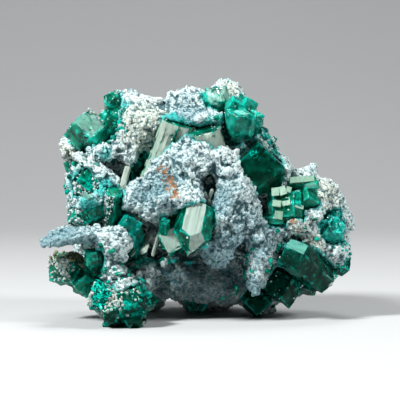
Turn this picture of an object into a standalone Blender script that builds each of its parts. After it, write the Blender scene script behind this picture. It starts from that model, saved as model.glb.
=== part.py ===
"""Dioptase specimen: emerald crystals grown together in a pale, grainy crust.

The crust is one body of fused lumps. The crystals are six-sided prisms with the three steep end
faces of dioptase, and each cluster sits in a socket of the crust with a fine gap around it.
Sizes and places are in millimetres, X to the right, Y to the back and Z up, and become metres
where the meshes are made.
"""

import math
from dataclasses import dataclass

import bmesh
import bpy
from mathutils import Matrix, Vector, noise

MM = 0.001

SEAT_GAP = 0.3
CUT_SNAP = 1e-6
SAME_PLANE = math.radians(1.0)
FLOOR_BOX = 200.0

END_FACE_SLOPE = math.radians(51.0)
SIDES = 6
FLAT_OVER_CORNER = math.cos(math.pi / SIDES)
FIRST_CORNER = math.pi / 2

VOXEL = 1.1
LUMP_SUBDIVISIONS = 3
CRUST_FACES = 4000
KNOB_SPACING = 4.2
KNOB_HEIGHT = 1.0
GRAIN_SPACING = 1.9
GRAIN_HEIGHT = 0.35
KNOB_LEVEL = 0.6
KNOB_REACH = 1.2

CRYSTAL_GREEN = (0.0, 0.16, 0.11, 1.0)
CRUST_WHITE = (0.62, 0.76, 0.78, 1.0)


@dataclass(frozen=True)
class Lump:
    """A rounded mass of crust: its centre, half sizes and turn about Y, in mm and degrees."""

    centre: tuple
    half: tuple
    turn: float = 0.0


@dataclass(frozen=True)
class Crystal:
    """One crystal from its free tip to its buried root.

    facing is the side that one of its end faces looks to, flat the thickness that way as a share
    of its width, and end the number of end faces: three, six, or none for a plain break.
    """

    tip: tuple
    root: tuple
    radius: float
    facing: tuple = (0.0, -1.0, 0.0)
    flat: float = 1.0
    end: int = 3


CORE = (
    Lump((0, 3, 34), (29, 14, 20)),
    Lump((-20, 3, 33), (13, 11, 17)),
    Lump((-14, 2, 49), (10, 8, 8)),
    Lump((21, 4, 26), (16, 11, 12)),
    Lump((4, 4, 49), (11, 9, 10)),
    Lump((2, 3, 15), (22, 12, 9)),
    Lump((-24, 0, 18), (10, 9, 9)),
    Lump((24, 1, 12), (10, 8, 6)),
)

UPPER_LEFT_CRUST = (
    Lump((-19.5, -1, 59.7), (4.3, 5, 3.2)),
    Lump((-16, -3, 57), (5.6, 6, 4.4)),
    Lump((-12.4, -2, 56.3), (4.6, 6, 3.8)),
    Lump((-16, -8, 53), (5.0, 5, 5.6)),
    Lump((-12.8, -7, 53.2), (4.4, 5, 4.8)),
    Lump((-18.4, -8, 48.8), (4.6, 5, 4.6)),
    Lump((-16.6, -9, 45.3), (3.8, 4, 3.2)),
    Lump((-25.3, -11, 46.2), (3.6, 3.4, 1.9), 12),
    Lump((-27, -12.5, 41), (7.8, 3.2, 2.0), 37),
    Lump((-27.6, -13, 33.6), (7.4, 3.4, 1.8), -20),
    Lump((-33.2, -10, 37), (2.1, 3.6, 5.6)),
    Lump((-28.3, -2, 57.7), (2.6, 3.2, 2.4)),
    Lump((-35.2, -3, 45.8), (2.2, 3.4, 3.8)),
    Lump((-31, 1, 46), (4, 5, 6)),
)

TOP_CRUST = (
    Lump((-6.0, -2, 57.2), (3.8, 5, 3.8)),
    Lump((-1.8, -2, 58.4), (5.4, 6, 5.0)),
    Lump((4, -2, 57.5), (4.8, 6, 5.2)),
    Lump((-0.6, -10.5, 55.3), (8.4, 6.2, 1.9)),
    Lump((8.2, 2.5, 61.6), (4.4, 4.6, 4.1)),
    Lump((11.2, 1.5, 58.2), (3.4, 4.4, 3.4)),
    Lump((17.2, -2, 49.6), (2.4, 4, 3.0)),
    Lump((19.6, -2, 45.6), (2.5, 4.2, 2.8)),
    Lump((22.5, -6, 40.6), (3.0, 3.6, 4.0)),
    Lump((20.4, -6, 37.6), (3.2, 4, 2.6)),
    Lump((12, 3, 49), (6, 8, 6)),
)

CENTRE_CRUST = (
    Lump((-6.0, -13, 46), (4.0, 4.6, 3.8)),
    Lump((-2.0, -14, 49.4), (2.4, 3.2, 2.6)),
    Lump((0.5, -15, 46.6), (4.8, 4.6, 3.6)),
    Lump((-8.6, -14, 41.5), (4.6, 4.6, 4.8)),
    Lump((-1.8, -16, 42.5), (5.2, 4.6, 4.4)),
    Lump((5.3, -15, 44.8), (4.6, 4.6, 3.0)),
    Lump((-12.5, -14, 37), (4.2, 4.4, 3.8)),
    Lump((-16.5, -14, 33.6), (4.4, 4.4, 3.4)),
    Lump((-8.5, -16, 34.5), (5.8, 4.6, 4.6)),
    Lump((-3.5, -17, 36.2), (4.4, 4.6, 4.0)),
    Lump((-2.4, -19.5, 33.8), (5.2, 4.8, 2.9)),
    Lump((-9.0, -18.5, 32.6), (4.4, 4.4, 2.6)),
    Lump((-11.4, -16.5, 29.8), (4.2, 3.6, 2.0)),
    Lump((8.7, -15, 41), (3.8, 4.6, 4.4)),
    Lump((10.6, -16, 35), (5.0, 5.0, 5.8)),
    Lump((7.6, -17, 29.5), (4.2, 4.6, 4.8)),
    Lump((13.2, -14.5, 29.5), (4.4, 4.6, 5.2)),
    Lump((8.6, -15.5, 24), (4.2, 4.6, 3.8)),
    Lump((5.6, -15.5, 19.4), (4.2, 4.2, 4.4)),
    Lump((17, -12, 24), (4.0, 4.6, 3.8)),
    Lump((22.0, -10, 24), (3.8, 4.4, 3.6)),
    Lump((17.6, -13, 18.6), (3.8, 4.0, 4.8)),
    Lump((16.6, -13.5, 13.2), (2.6, 3.4, 4)),
    Lump((15.8, -14, 10.2), (2.1, 2.6, 2.2)),
    Lump((-14.5, -14, 40.2), (1.7, 2.2, 1.7)),
)

RIGHT_CRUST = (
    Lump((30.2, -2, 38), (3.6, 5, 2.9)),
    Lump((34.4, -2, 35), (4.2, 5, 3.6)),
    Lump((37.4, -1, 31.4), (4.1, 5, 4.2)),
    Lump((33.6, -8, 31), (3.0, 2.8, 2.0)),
    Lump((27, -12, 27.2), (4.3, 3.6, 3.5)),
    Lump((30.8, -11, 29), (3.8, 3.2, 2.0)),
    Lump((40.8, 1, 26.2), (3.1, 4.4, 3.6)),
    Lump((31.7, -10, 23.5), (3.0, 3.2, 2.5)),
    Lump((32.4, -10, 19.2), (2.9, 3, 2.4)),
    Lump((38.2, -6, 18.4), (4.1, 4.2, 3.5)),
    Lump((35.3, -6, 11.6), (2.3, 3.6, 3.0)),
    Lump((33, 3, 23), (8, 9, 10)),
)

LOWER_CRUST = (
    Lump((-36.0, -20, 22.9), (6.0, 6, 1.2), -8),
    Lump((-30.4, -19, 24.0), (5.2, 6.0, 1.6), -6),
    Lump((-35, -16, 24.4), (3.0, 3.4, 1.5)),
    Lump((-22, -20, 22), (4.6, 4.2, 4.2)),
    Lump((-22.8, -17.5, 14.4), (3.0, 4.2, 4.2)),
    Lump((-26, -10, 21), (5, 6, 4)),
    Lump((-6, -8, 11.4), (8, 5.8, 5.8)),
    Lump((2.5, -4.5, 10), (8, 6.6, 5.6)),
    Lump((9.0, -1.5, 9.2), (5.4, 7, 5.6)),
    Lump((-14.5, -12, 12.6), (4.8, 5.6, 4.6)),
    Lump((-18.6, -17, 9), (4.6, 6.0, 5.0)),
    Lump((-28.0, -23, 9.8), (1.9, 3.2, 3.0), 20),
    Lump((-20.6, -26.5, 10.2), (1.7, 3.2, 2.2), 25),
)

BACK_CRUST = (
    Lump((-22, 12, 43), (9, 8, 9)),
    Lump((-8, 14, 49), (9, 8, 8)),
    Lump((7, 14, 46), (8, 8, 9)),
    Lump((20, 12, 33), (8, 10, 7)),
    Lump((-28, 10, 29), (7, 8, 10)),
    Lump((0, 19, 36), (12, 6, 10)),
    Lump((-15, 17, 29), (9, 7, 9)),
    Lump((15, 17, 26), (10, 7, 9)),
    Lump((30, 9, 21), (8, 8, 8)),
    Lump((-20, 12, 15), (9, 8, 8)),
    Lump((2, 17, 14), (11, 7, 8)),
    Lump((20, 12, 14), (9, 8, 6)),
    Lump((-2, 23, 25), (7, 5, 6)),
    Lump((-7, 20, 45), (5, 5, 5)),
    Lump((11, 21, 38), (5, 5, 5)),
)

FEET = (
    Lump((3, 15, 6), (8.5, 7.5, 7.6)),
    Lump((-17, 13, 6), (8.0, 7.0, 7.6)),
    Lump((17, 6, 7), (7, 7, 6)),
)

HOLLOWS = (
    Lump((2.0, -22, 39.2), (2.9, 7.5, 2.0)),
    Lump((2.8, -21, 36.2), (1.7, 7.5, 3.4)),
    Lump((4.8, -21, 34.4), (0.9, 5.5, 4.6)),
    Lump((3.8, -22, 26), (1.5, 8, 6.4)),
    Lump((11.8, -15, 14.6), (2.3, 9, 6.2)),
    Lump((-32, -22, 18.8), (6.2, 9, 2.8), -6),
    Lump((-13.2, -18, 24), (3.9, 8.5, 3.9)),
    Lump((39.4, -10, 14.4), (1.8, 4.5, 1.8)),
    Lump((-14.2, -13, 43.6), (2.6, 5.5, 5.2), 10),
    Lump((-27.8, -13, 48.8), (3.6, 4.5, 1.1), 8),
    Lump((-8.4, -8, 55.0), (0.9, 5, 3.0)),
)

CRUST_LUMPS = (
    CORE
    + UPPER_LEFT_CRUST
    + TOP_CRUST
    + CENTRE_CRUST
    + RIGHT_CRUST
    + LOWER_CRUST
    + BACK_CRUST
    + FEET
)

CLUSTERS = {
    "upper_left_cluster": (
        Crystal((-22.6, -4, 63.4), (-21.6, 1, 46), 3.5, (-0.7, -0.7, 0.0)),
        Crystal((-25.6, -7.5, 57.6), (-22.5, 0, 45), 4.2, (-0.4, -0.9, 0.0)),
        Crystal((-33.4, -12, 54.6), (-25.4, -1, 47), 5.8, (-0.15, -0.8, 0.6)),
    ),
    "left_edge_cluster": (
        Crystal((-35.4, -5, 46), (-34.2, -2, 25), 2.8, (-0.7, -0.7, 0.0)),
        Crystal((-36.0, 0, 40), (-33.2, 2, 24), 3.0, (-1.0, -0.3, 0.0)),
        Crystal((-28.8, -14, 43), (-29.6, -6, 30), 5.4, (0.3, -1.0, 0.0)),
        Crystal((-35.2, -14, 26.8), (-21.0, -8, 33.0), 3.5, (0.0, -0.8, -0.6)),
        Crystal((-22.2, -16.5, 35.6), (-23.4, -9, 24.5), 2.6, (0.2, -1.0, 0.0), 1.0, 0),
    ),
    "left_broken_crystal": (
        Crystal((-18.4, -18.0, 29.4), (-17.2, -9, 17.5), 4.0, (0.2, -1.0, 0.0)),
    ),
    "lower_left_cluster": (
        Crystal((-40.4, -14, 17.0), (-29, -7, 10.6), 5.2, (-0.5, -0.9, 0.0)),
        Crystal((-33.0, -18, 9.6), (-25, -8, 12.6), 4.2, (0.0, -1.0, -0.3)),
        Crystal((-28.7, -23, 19.4), (-25.6, -11, 13.4), 3.2, (-0.5, -0.8, 0.3)),
    ),
    "foot_cluster": (
        Crystal((-27.4, -31, 10.2), (-21.0, -22, 4.4), 4.4, (-0.4, -0.9, 0.1)),
        Crystal((-24.6, -33, 4.4), (-18.6, -22, 5.6), 4.2, (-0.5, -1.0, 0.2)),
        Crystal((-19.6, -33, 5.6), (-17.6, -20, 5.6), 4.4, (0.1, -1.0, 0.5)),
        Crystal((-14.2, -31.5, 7.4), (-16.6, -20, 6.4), 3.8, (0.4, -0.9, 0.2)),
        Crystal((-11.4, -27, 4.8), (-16.6, -20, 7.4), 3.8, (0.7, -0.9, 0.0)),
        Crystal((-17.0, -31, -1.0), (-17.0, -20, 7.0), 4.6, (0.2, -0.9, 0.0)),
        Crystal((-22.0, -28, -3.6), (-19.0, -21, 6.0), 4.4, (-0.2, -0.9, 0.0)),
    ),
    "top_cluster": (
        Crystal((6.2, -9, 64.4), (4.2, 0, 55), 4.0, (-0.3, -0.9, 0.3)),
        Crystal((10.2, -12.4, 60.2), (10.8, -2, 54.6), 3.1, (0.0, -1.0, 0.3)),
        Crystal((14.2, -7, 61.0), (12.4, 1, 52.6), 3.4, (0.5, -0.8, 0.0)),
        Crystal((10.8, -17, 55.6), (12.2, -5, 52.2), 4.6, (0.15, -1.0, 0.0)),
        Crystal((16.8, -8.4, 57.2), (14.0, 0, 49.4), 3.1, (0.6, -0.8, 0.0)),
    ),
    "gap_prism": (
        Crystal((-16.4, -9.4, 47.2), (-16.0, -4, 35), 2.9, (0.4, -0.9, 0.0)),
    ),
    "striated_prisms": (
        Crystal((-6.2, -14.0, 54.0), (-12.2, -12.0, 38.4), 3.4, (-0.5, -0.85, 0.0), 1.0, 0),
        Crystal((-3.4, -13.6, 53.8), (-6.0, -10, 42.4), 3.4, (-0.5, -0.85, 0.0), 1.0, 0),
        Crystal((2.0, -14.8, 52.4), (4.4, -10.5, 41.5), 4.9, (-0.5, -0.85, 0.0), 1.0, 0),
    ),
    "right_rhomb": (
        Crystal((17.0, -16.0, 48.6), (16.4, -8.2, 38.9), 7.9, (0.06, -1.0, -0.7)),
    ),
    "right_step_cluster": (
        Crystal((29.2, -11.6, 31.4), (20.0, -10.0, 30.6), 5.0, (0.0, -1.0, 0.25), 1.0, 0),
        Crystal((26.8, -15.0, 31.9), (20.8, -13.6, 31.5), 3.9, (0.0, -1.0, 0.25), 0.45, 0),
        Crystal((24.0, -14.4, 28.4), (18.8, -12.6, 28.2), 2.3, (0.0, -1.0, 0.25), 0.8, 0),
        Crystal((30.6, -15.0, 34.0), (29.0, -5, 32.4), 3.8, (0.2, -0.8, -0.6)),
        Crystal((33.2, -12.8, 37.3), (25.4, -10, 36.8), 1.4, (0.0, -1.0, 0.3), 1.0, 0),
    ),
    "front_prism": (
        Crystal((-2.4, -23.6, 18.2), (0.5, -18.6, 31.6), 5.2, (-0.55, -0.83, 0.0), 1.0, 6),
        Crystal((-7.4, -20.0, 18.8), (-3.4, -10, 29.0), 5.0, (-0.2, -1.0, -0.3)),
        Crystal((-8.4, -22.0, 29.0), (-8.8, -15.0, 20.4), 1.5, (0.3, -1.0, 0.0)),
    ),
    "far_right_cluster": (
        Crystal((36.4, -13.2, 25.4), (37.0, -3, 24.0), 4.4, (-0.2, -1.0, 0.2)),
        Crystal((33.4, -11.4, 27.6), (36.0, -3, 24.6), 2.7, (-0.4, -0.9, 0.3)),
        Crystal((38.4, -8.6, 29.0), (36.6, 0, 27.0), 2.7, (0.1, -0.9, 0.4), 0.6),
        Crystal((40.2, -10.2, 22.4), (36.4, -2, 23.0), 2.9, (0.5, -0.8, 0.0)),
    ),
    "lower_right_cluster": (
        Crystal((23.8, -19.6, 21.0), (34.6, -6.0, 11.0), 4.8, (-0.2, -0.7, 0.8)),
        Crystal((16.8, -7.6, 0.8), (17.0, 3, 9.6), 4.6, (0.0, -1.0, -0.2)),
        Crystal((23.0, -12.0, 6.0), (25.6, 1, 11.6), 5.4, (-0.3, -0.9, 0.0)),
        Crystal((30.2, -10.6, 8.6), (28.6, 2, 13.0), 5.0, (0.2, -0.9, -0.3)),
        Crystal((37.0, -5.6, 8.6), (31.6, 4, 14.6), 4.2, (0.5, -0.8, 0.0)),
        Crystal((42.8, -2.4, 12.8), (35.0, 3, 17.6), 3.6, (0.7, -0.7, 0.0)),
    ),
    "base_plates": (
        Crystal((-0.4, 1.4, 0.9), (-4.6, 5.0, 8.6), 3.2, (0.8, -0.3, 0.5), 0.3, 0),
        Crystal((0.4, 1.4, 0.9), (5.6, 5.0, 7.6), 3.2, (-0.8, -0.3, 0.5), 0.3, 0),
    ),
    "back_left_cluster": (
        Crystal((-35.6, 15, 41), (-26, 8, 35), 5.2, (-0.6, 0.8, 0.2)),
        Crystal((-31.6, 21, 33), (-22, 10, 30), 4.6, (-0.2, 1.0, 0.3)),
        Crystal((-37.0, 12, 26), (-28, 8, 30), 4.0, (-0.7, 0.6, 0.0)),
    ),
    "back_top_cluster": (
        Crystal((-8, 18, 60.0), (-7, 11, 48), 4.8, (-0.3, 0.9, 0.3)),
        Crystal((0.5, 21, 56.6), (-3, 12, 46), 4.4, (0.3, 0.9, 0.2)),
        Crystal((-15, 16, 56.6), (-10, 10, 48), 3.6, (-0.6, 0.7, 0.2)),
    ),
    "back_right_cluster": (
        Crystal((27, 24, 36.0), (20, 12, 30), 5.4, (0.3, 0.9, 0.3)),
        Crystal((37.0, 16, 29), (26, 8, 26), 4.8, (0.8, 0.5, 0.2)),
        Crystal((29, 24, 24), (22, 12, 25), 4.2, (0.4, 0.8, -0.3)),
    ),
    "back_low_cluster": (
        Crystal((3, 29.0, 20), (2, 17, 17), 4.8, (0.1, 0.8, 0.6)),
        Crystal((-6, 27.0, 12), (-2, 16, 15), 4.2, (-0.4, 0.8, 0.4)),
        Crystal((11, 26.0, 11), (6, 15, 15), 3.8, (0.5, 0.8, 0.3)),
    ),
}


def clear_scene():
    """Removes every object of the open scene."""
    for obj in list(bpy.data.objects):
        bpy.data.objects.remove(obj, do_unlink=True)


def new_collection(name):
    """Adds a collection of this name to the scene."""
    made = bpy.data.collections.new(name)
    bpy.context.scene.collection.children.link(made)
    return made


def crystal_material():
    """Clear emerald green."""
    made = bpy.data.materials.new("dioptase_green")
    made.use_nodes = True
    shader = made.node_tree.nodes["Principled BSDF"]
    shader.inputs["Base Color"].default_value = CRYSTAL_GREEN
    shader.inputs["Roughness"].default_value = 0.18
    shader.inputs["Metallic"].default_value = 0.0
    shader.inputs["Transmission Weight"].default_value = 0.6
    shader.inputs["IOR"].default_value = 1.66
    made.diffuse_color = CRYSTAL_GREEN
    return made


def crust_material():
    """Dull blue-white crust."""
    made = bpy.data.materials.new("crust_white")
    made.use_nodes = True
    shader = made.node_tree.nodes["Principled BSDF"]
    shader.inputs["Base Color"].default_value = CRUST_WHITE
    shader.inputs["Roughness"].default_value = 0.85
    shader.inputs["Metallic"].default_value = 0.0
    made.diffuse_color = CRUST_WHITE
    return made


def metres(point):
    """A place in millimetres as a vector in metres."""
    return Vector(point) * MM


def object_from(bm, name, collection):
    """Turns a bmesh into an object of this name and frees it."""
    mesh = bpy.data.meshes.new(name)
    bm.to_mesh(mesh)
    bm.free()
    obj = bpy.data.objects.new(name, mesh)
    collection.objects.link(obj)
    return obj


def settle_modifiers(obj):
    """Puts the result of the object's modifiers into its mesh."""
    graph = bpy.context.evaluated_depsgraph_get()
    mesh = bpy.data.meshes.new_from_object(obj.evaluated_get(graph))
    obj.modifiers.clear()
    old = obj.data
    obj.data = mesh
    bpy.data.meshes.remove(old)


def combine(obj, tool, operation, solver="EXACT"):
    """Joins tool to obj, or cuts it out, and removes tool."""
    modifier = obj.modifiers.new("combine", "BOOLEAN")
    modifier.operation = operation
    modifier.solver = solver
    modifier.object = tool
    settle_modifiers(obj)
    bpy.data.objects.remove(tool, do_unlink=True)


def prism_matrix(crystal):
    """The crystal's place: Z along its axis, X to the side that it faces."""
    tip = metres(crystal.tip)
    root = metres(crystal.root)
    axis = (tip - root).normalized()
    side = Vector(crystal.facing)
    side = (side - axis * side.dot(axis)).normalized()
    across = axis.cross(side)
    turn = Matrix((side, across, axis)).transposed().to_4x4()
    return Matrix.Translation((tip + root) / 2) @ turn


def cut_by_plane(bm, point, normal):
    """Cuts off what lies past the plane, and closes the cut, as the crystal has no hollows."""
    geometry = bm.verts[:] + bm.edges[:] + bm.faces[:]
    bmesh.ops.bisect_plane(
        bm, geom=geometry, plane_co=point, plane_no=normal, dist=CUT_SNAP, clear_outer=True
    )
    bmesh.ops.remove_doubles(bm, verts=bm.verts[:], dist=CUT_SNAP)
    corners = [vertex.co.copy() for vertex in bm.verts]
    bm.clear()
    for corner in corners:
        bm.verts.new(corner)
    hull = bmesh.ops.convex_hull(bm, input=bm.verts[:])
    inside = {item for item in hull["geom_interior"] if isinstance(item, bmesh.types.BMVert)}
    bmesh.ops.delete(bm, geom=list(inside), context="VERTS")


def crystal_object(crystal, grow, collection):
    """One crystal as a prism with its end faces, every face moved out by grow."""
    length = (metres(crystal.tip) - metres(crystal.root)).length + 2 * grow
    radius = crystal.radius * MM + grow / FLAT_OVER_CORNER
    bm = bmesh.new()
    bmesh.ops.create_cone(
        bm, cap_ends=True, segments=SIDES, radius1=radius, radius2=radius, depth=length
    )
    bmesh.ops.rotate(
        bm, verts=bm.verts[:], cent=(0, 0, 0), matrix=Matrix.Rotation(-FIRST_CORNER, 3, "Z")
    )
    apex = Vector((0, 0, length / 2 - grow))
    for number in range(crystal.end):
        azimuth = 2 * math.pi * number / crystal.end
        sideways = math.sin(END_FACE_SLOPE)
        normal = Vector(
            (sideways * math.cos(azimuth), sideways * math.sin(azimuth), math.cos(END_FACE_SLOPE))
        )
        cut_by_plane(bm, apex + normal * grow, normal)
    bmesh.ops.scale(bm, verts=bm.verts[:], vec=(crystal.flat, 1, 1))
    bmesh.ops.transform(bm, verts=bm.verts[:], matrix=prism_matrix(crystal))
    bmesh.ops.recalc_face_normals(bm, faces=bm.faces[:])
    return object_from(bm, "crystal", collection)


def floor_cutter(collection):
    """A box that holds everything below the level the specimen stands on."""
    bm = bmesh.new()
    bmesh.ops.create_cube(bm, size=FLOOR_BOX * MM)
    bmesh.ops.translate(bm, verts=bm.verts[:], vec=(0, 0, -FLOOR_BOX * MM / 2))
    return object_from(bm, "below_the_floor", collection)


def cluster_object(name, crystals, grow, collection):
    """Crystals grown through each other, as one body that ends at the floor."""
    first, *others = crystals
    cluster = crystal_object(first, grow, collection)
    for crystal in others:
        combine(cluster, crystal_object(crystal, grow, collection), "UNION")
    cluster.name = name
    cluster.data.name = name
    return cluster


def lumps_object(name, lumps, collection):
    """Rounded masses fused into one skin."""
    bm = bmesh.new()
    for lump in lumps:
        place = Matrix.Translation(metres(lump.centre))
        turn = Matrix.Rotation(math.radians(lump.turn), 4, "Y")
        size = Matrix.Diagonal((*metres(lump.half), 1.0))
        bmesh.ops.create_icosphere(
            bm, subdivisions=LUMP_SUBDIVISIONS, radius=1.0, matrix=place @ turn @ size
        )
    obj = object_from(bm, name, collection)
    fuse(obj)
    return obj


def fuse(obj):
    """Remeshes the object into one even skin."""
    modifier = obj.modifiers.new("fuse", "REMESH")
    modifier.mode = "VOXEL"
    modifier.voxel_size = VOXEL * MM
    settle_modifiers(obj)


def knobs(point, spacing, height):
    """Height of the rounded knobs at a point: highest over each cell's centre."""
    near = noise.voronoi(point / (spacing * MM))[0][0]
    return height * MM * (KNOB_LEVEL - min(near, KNOB_REACH) ** 2)


def roughen(obj):
    """Raises knobs and grains over the crust's skin."""
    mesh = obj.data
    normals = [vertex.normal.copy() for vertex in mesh.vertices]
    for vertex, normal in zip(mesh.vertices, normals):
        point = vertex.co.copy()
        rise = knobs(point, KNOB_SPACING, KNOB_HEIGHT) + knobs(point, GRAIN_SPACING, GRAIN_HEIGHT)
        vertex.co = point + normal * rise


def thin_out(obj):
    """Brings the crust to its number of triangles."""
    triangles = sum(len(face.vertices) - 2 for face in obj.data.polygons)
    modifier = obj.modifiers.new("thin_out", "DECIMATE")
    modifier.ratio = CRUST_FACES / triangles
    modifier.use_collapse_triangulate = True
    settle_modifiers(obj)


def tidy_faces(obj):
    """Joins the slivers that the cuts leave in one plane, and the points that they leave doubled."""
    bm = bmesh.new()
    bm.from_mesh(obj.data)
    bmesh.ops.remove_doubles(bm, verts=bm.verts[:], dist=CUT_SNAP)
    bmesh.ops.dissolve_limit(
        bm, angle_limit=SAME_PLANE, verts=bm.verts[:], edges=bm.edges[:], use_dissolve_boundaries=False
    )
    bmesh.ops.triangulate(bm, faces=bm.faces[:])
    bm.to_mesh(obj.data)
    bm.free()


def keep_largest_body(obj):
    """Removes crumbs that the sockets cut loose."""
    bm = bmesh.new()
    bm.from_mesh(obj.data)
    left = set(bm.verts)
    bodies = []
    while left:
        front = [left.pop()]
        body = set(front)
        while front:
            vertex = front.pop()
            for edge in vertex.link_edges:
                other = edge.other_vert(vertex)
                if other in left:
                    left.discard(other)
                    body.add(other)
                    front.append(other)
        bodies.append(body)
    bodies.sort(key=len, reverse=True)
    crumbs = [vertex for body in bodies[1:] for vertex in body]
    bmesh.ops.delete(bm, geom=crumbs, context="VERTS")
    bm.to_mesh(obj.data)
    bm.free()


def crust_object(sockets, collection):
    """The crust with its hollows, its feet cut level, and a socket for each cluster."""
    crust = lumps_object("crust", CRUST_LUMPS, collection)
    combine(crust, lumps_object("hollows", HOLLOWS, collection), "DIFFERENCE")
    fuse(crust)
    roughen(crust)
    thin_out(crust)
    for socket in sockets:
        # The exact solver leaves one of these sockets uncut in the thinned skin.
        combine(crust, socket, "DIFFERENCE", "MANIFOLD")
    combine(crust, floor_cutter(collection), "DIFFERENCE")
    tidy_faces(crust)
    keep_largest_body(crust)
    return crust


def stand_on_origin(nodes, collection):
    """Parents the nodes to an empty that brings the base's centre to the origin."""
    corners = [vertex.co for node in nodes for vertex in node.data.vertices]
    centre = Vector(
        [(min(c[k] for c in corners) + max(c[k] for c in corners)) / 2 for k in range(2)] + [0]
    )
    stand = bpy.data.objects.new("specimen", None)
    stand.location = -centre
    collection.objects.link(stand)
    for node in nodes:
        node.parent = stand


def main():
    """Makes the crystals, the crust around them, and stands both on the origin."""
    clear_scene()
    specimen = new_collection("dioptase")
    green = crystal_material()
    white = crust_material()
    clusters = []
    sockets = []
    for name, crystals in CLUSTERS.items():
        cluster = cluster_object(name, crystals, 0.0, specimen)
        combine(cluster, floor_cutter(specimen), "DIFFERENCE")
        tidy_faces(cluster)
        cluster.data.materials.clear()
        cluster.data.materials.append(green)
        clusters.append(cluster)
        sockets.append(cluster_object("socket", crystals, SEAT_GAP * MM, specimen))
    crust = crust_object(sockets, specimen)
    crust.data.materials.clear()
    crust.data.materials.append(white)
    stand_on_origin([crust, *clusters], specimen)


main()
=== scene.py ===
"""Looks of the dioptase specimen: emerald crystals in a pale, grainy crust.

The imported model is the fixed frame. The crust and each cluster of crystals are made again over
their solids, with grains, pits, facets and worn edges, and small crystals and crumbs grow on them.
Places are in millimetres in the specimen's own drawing, and become metres in the meshes.
"""

import logging
import math
from dataclasses import dataclass, field, replace
from enum import Enum
from itertools import product

import bpy
import numpy as np
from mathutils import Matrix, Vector


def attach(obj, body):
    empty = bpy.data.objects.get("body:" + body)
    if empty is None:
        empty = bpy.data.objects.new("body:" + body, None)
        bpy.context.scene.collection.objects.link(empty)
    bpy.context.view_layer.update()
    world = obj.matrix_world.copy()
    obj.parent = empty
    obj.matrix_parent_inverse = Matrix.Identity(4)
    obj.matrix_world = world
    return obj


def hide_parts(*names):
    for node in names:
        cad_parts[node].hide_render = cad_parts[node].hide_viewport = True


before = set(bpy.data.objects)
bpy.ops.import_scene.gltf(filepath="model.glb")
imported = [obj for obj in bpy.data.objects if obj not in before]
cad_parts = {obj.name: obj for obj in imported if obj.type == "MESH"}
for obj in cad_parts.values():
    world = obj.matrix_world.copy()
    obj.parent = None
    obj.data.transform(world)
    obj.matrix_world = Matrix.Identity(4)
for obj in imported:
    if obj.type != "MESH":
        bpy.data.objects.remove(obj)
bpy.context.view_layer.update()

log = logging.getLogger("dioptase")

MM = 0.001
DRAWING_ZERO = np.array((-1.2, 2.0, 0.0))
MERGE = 1e-7
SEED = 11
CELL_PRIMES = (73856093, 19349663, 83492791)
SEED_PRIME = 2654435761
STIR_PRIME = 1274126177
CELL_BITS = 0xFFFFFF
PRISM_SIDES = 6
CRYSTAL_POINTS = 2 * PRISM_SIDES + 1
END_SLOPE = math.radians(51.0)
PLATE_SIDES = 4
FACET_ANGLE = math.radians(8.0)
SHARP_ANGLE = math.radians(24.0)
REFRACTION = 1.66
OPEN_GAP = 0.7 * MM

Colour = tuple[float, float, float]
Place = tuple[float, float, float]


def metres(places: object) -> np.ndarray:
    """Places in the drawing's millimetres as metres in the frame."""
    return (np.asarray(places, float) + DRAWING_ZERO) * MM


def smooth_step(values: np.ndarray, low: float, high: float) -> np.ndarray:
    """0 below low and 1 above high, with a smooth S between them."""
    share = np.clip((values - low) / (high - low), 0.0, 1.0)
    return share * share * (3.0 - 2.0 * share)


def unit(vectors: np.ndarray) -> np.ndarray:
    """The vectors at length one."""
    return vectors / np.maximum(np.linalg.norm(vectors, axis=-1, keepdims=True), 1e-12)


# Noise worked out on whole arrays of points


def cell_random(cells: np.ndarray, seed: int) -> np.ndarray:
    """One number from 0 to 1 for each whole-number cell, mixed from its three indices.

    Args:
        cells: Rows of three whole numbers.
        seed: Picks another set of numbers.

    Returns:
        One number for each row.
    """
    whole = cells.astype(np.int64)
    mixed = np.bitwise_xor.reduce(whole * CELL_PRIMES, axis=1) ^ seed * SEED_PRIME
    mixed = (mixed ^ (mixed >> 13)) * STIR_PRIME
    mixed ^= mixed >> 16
    return (mixed & CELL_BITS) / CELL_BITS


def soft_noise(points: np.ndarray, size: float, seed: int) -> np.ndarray:
    """Random numbers at the corners of a cubic grid, blended smoothly inside each cube.

    Args:
        points: Places in metres.
        size: The cubes' side in metres.
        seed: Picks another set of numbers.

    Returns:
        A number from 0 to 1 for each point.
    """
    scaled = points / size
    base = np.floor(scaled)
    part = scaled - base
    part = part * part * (3.0 - 2.0 * part)
    total = np.zeros(len(points))
    for corner in product((0, 1), repeat=3):
        weight = np.prod(np.where(np.array(corner) == 1, part, 1.0 - part), axis=1)
        total += weight * cell_random(base + corner, seed)
    return total


def patches(points: np.ndarray, size: float, seed: int, low: float, high: float) -> np.ndarray:
    """Soft-edged patches: 0 where a soft noise is below low and 1 where it is above high.

    Args:
        points: Places in metres.
        size: The noise's cubes in millimetres.
        seed: Picks another pattern.
        low: The noise where a patch begins.
        high: The noise where it is full.

    Returns:
        A number from 0 to 1 for each point.
    """
    return smooth_step(soft_noise(points, size * MM, seed), low, high)


def pebbles(points: np.ndarray, size: float, seed: int) -> np.ndarray:
    """Packed round grains: one minus the squared distance to the nearest of the random cell centres.

    Args:
        points: Places in metres.
        size: The cells' side in metres.
        seed: Picks another set of centres.

    Returns:
        A number from 0 between the grains to 1 on their tops.
    """
    scaled = points / size
    base = np.floor(scaled)
    nearest = np.full(len(points), 9.0)
    for step in product((-1, 0, 1), repeat=3):
        cell = base + step
        centre = cell + np.stack([cell_random(cell, seed + k) for k in range(3)], axis=1)
        nearest = np.minimum(nearest, ((scaled - centre) ** 2).sum(axis=1))
    return 1.0 - np.clip(nearest, 0.0, 1.0)


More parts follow.
